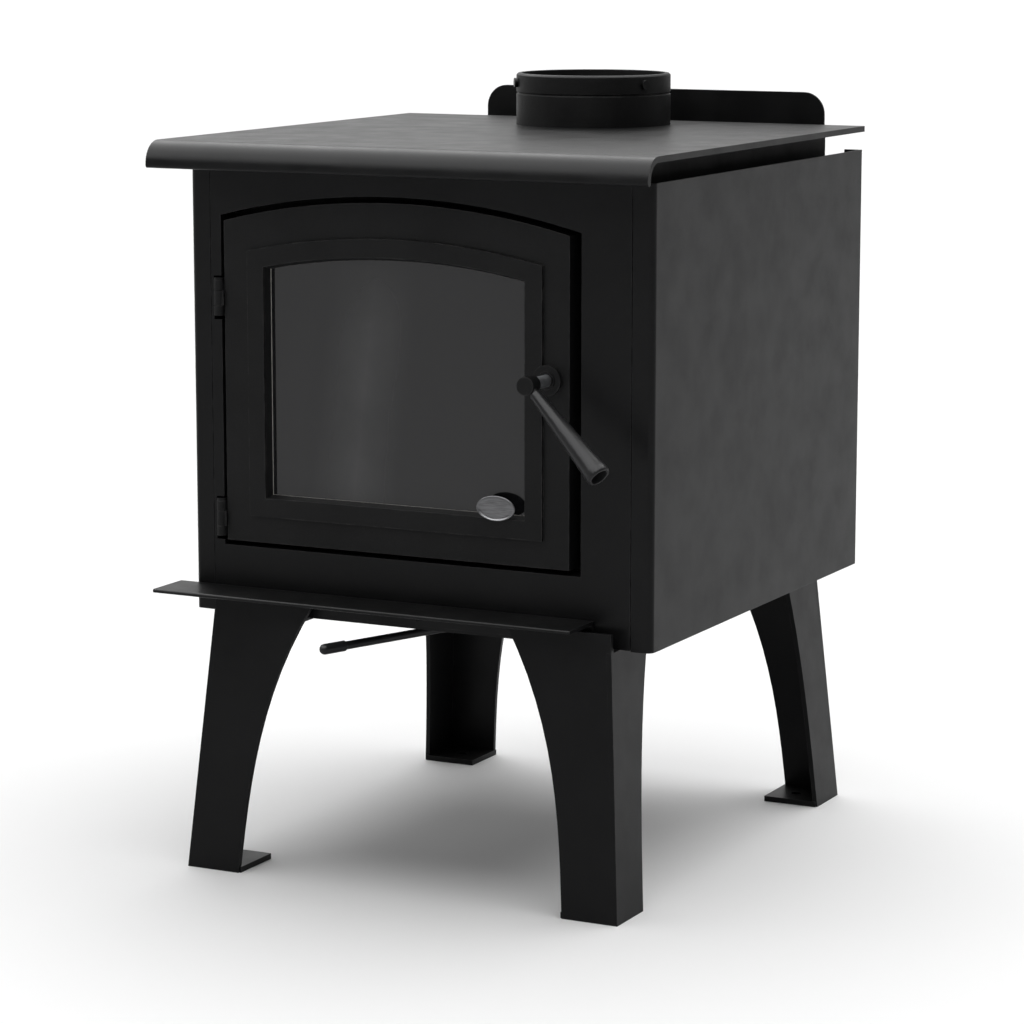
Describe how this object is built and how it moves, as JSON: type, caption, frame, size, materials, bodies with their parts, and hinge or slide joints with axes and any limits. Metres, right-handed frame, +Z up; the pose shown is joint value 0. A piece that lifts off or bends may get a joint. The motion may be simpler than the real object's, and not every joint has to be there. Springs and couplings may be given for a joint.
{
  "type": "wood burning stove",
  "caption": "Steel wood stove with an arched, glazed door hinged on the left, a round flue collar, heat shields at the sides, back and bottom, and splayed legs.",
  "frame": {"origin": "on the floor, in the middle of the stove's plan", "axes": "+X to the right of someone who faces the door, +Y from the door to the back, +Z up"},
  "size_m": [0.549, 0.6412, 0.7955],
  "materials": {
    "painted_steel": "satin",
    "cast_iron": "matte",
    "black_grip": "satin",
    "zinc_steel": "satin",
    "badge": "satin",
    "firebrick": "matte",
    "ceramic_fibre": "matte",
    "glass": "gloss"
  },
  "bodies": {
    "stove": {"firebox_shell": "painted_steel", "door_landing": "painted_steel", "front_surround": "painted_steel", "top_plate": "painted_steel", "flue_collar": "cast_iron", "collar_screws": "painted_steel", "side_shield_left": "painted_steel", "side_shield_right": "painted_steel", "side_spacers": "zinc_steel", "rear_shield": "painted_steel", "rear_spacers": "zinc_steel", "rear_screws": "painted_steel", "base_frame": "painted_steel", "bottom_shield": "painted_steel", "bottom_spacers": "zinc_steel", "ash_lip": "painted_steel", "ash_lip_screws": "painted_steel", "leg_front_left": "painted_steel", "leg_front_right": "painted_steel", "leg_rear_left": "painted_steel", "leg_rear_right": "painted_steel", "leg_bolts": "painted_steel", "bricks_floor": "firebrick", "bricks_left": "firebrick", "bricks_right": "firebrick", "bricks_rear": "firebrick", "air_manifolds": "painted_steel", "air_tubes": "zinc_steel", "baffle_board": "firebrick", "baffle_blanket": "ceramic_fibre", "air_box": "painted_steel", "damper_pivot": "zinc_steel", "pivot_nut": "zinc_steel", "hinge_brackets": "cast_iron", "hinge_pins": "painted_steel", "latch_keeper": "zinc_steel", "keeper_screws": "zinc_steel"},
    "door": {"door_frame": "cast_iron", "door_gasket": "ceramic_fibre", "glass_gasket": "ceramic_fibre", "door_glass": "glass", "glass_retainer": "painted_steel", "retainer_screws": "zinc_steel", "badge_plate": "badge", "latch_bush": "painted_steel"},
    "handle": {"latch_spindle": "zinc_steel", "handle_arm": "cast_iron", "handle_grip": "black_grip", "latch_cam": "zinc_steel", "cam_nut": "zinc_steel"},
    "air_control": {"damper_disc": "zinc_steel", "air_lever": "black_grip", "air_knob": "black_grip"}
  },
  "joints": [
    {"name": "door_swing", "type": "hinge", "parent": "stove", "child": "door", "pos_m": [-0.22425, -0.23836, 0.51], "axis": [0, 0, -1], "range_deg": [0, 110]},
    {"name": "handle_turn", "type": "hinge", "parent": "door", "child": "handle", "pos_m": [0.145, -0.23836, 0.52], "axis": [0, -1, 0], "range_deg": [0, 75]},
    {"name": "air_lever_turn", "type": "hinge", "parent": "stove", "child": "air_control", "pos_m": [0, -0.13836, 0.254], "axis": [0, 0, 1], "range_deg": [0, 42.4]}
  ]
}
